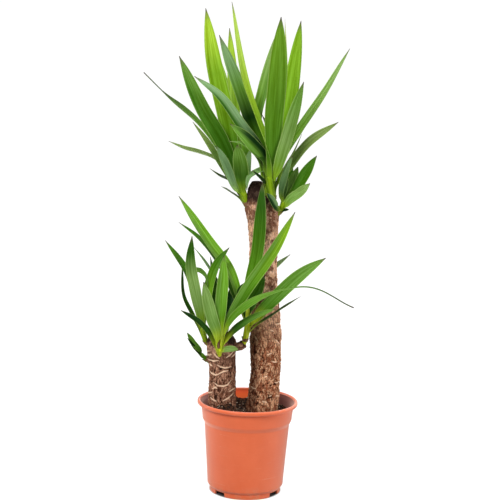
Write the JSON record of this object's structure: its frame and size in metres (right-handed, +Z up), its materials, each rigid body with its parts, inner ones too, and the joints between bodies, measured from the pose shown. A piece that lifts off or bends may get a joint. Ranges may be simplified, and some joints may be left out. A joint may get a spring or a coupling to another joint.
{
  "type": "potted yucca",
  "caption": "Potted yucca: a tall and a short woody cane with eight shoots of sword-shaped green leaves, in a terracotta-coloured plastic nursery pot.",
  "frame": {"origin": "on the pot's axis, at the surface the pot stands on, which is the middle of the plant's plan to within a few millimetres", "axes": "+Z up along the pot's axis; -Y faces the camera of the picture; +X to its right, on the tall cane's side"},
  "size_m": [0.3587, 0.2252, 0.821],
  "materials": {
    "terracotta_plastic": "satin",
    "potting_soil": "matte",
    "tall_bark": "matte",
    "short_bark": "matte",
    "leaf": "satin"
  },
  "bodies": {
    "root": {"pot": "terracotta_plastic", "soil": "potting_soil", "cane_tall": "tall_bark", "cane_short": "short_bark", "shoot_crown_left": "leaf", "shoot_crown_right": "leaf", "shoot_crown_side": "leaf", "shoot_base_right": "leaf", "shoot_base_back": "leaf", "shoot_base_front": "leaf", "shoot_base_left": "leaf", "shoot_base_low_left": "leaf"}
  },
  "joints": []
}
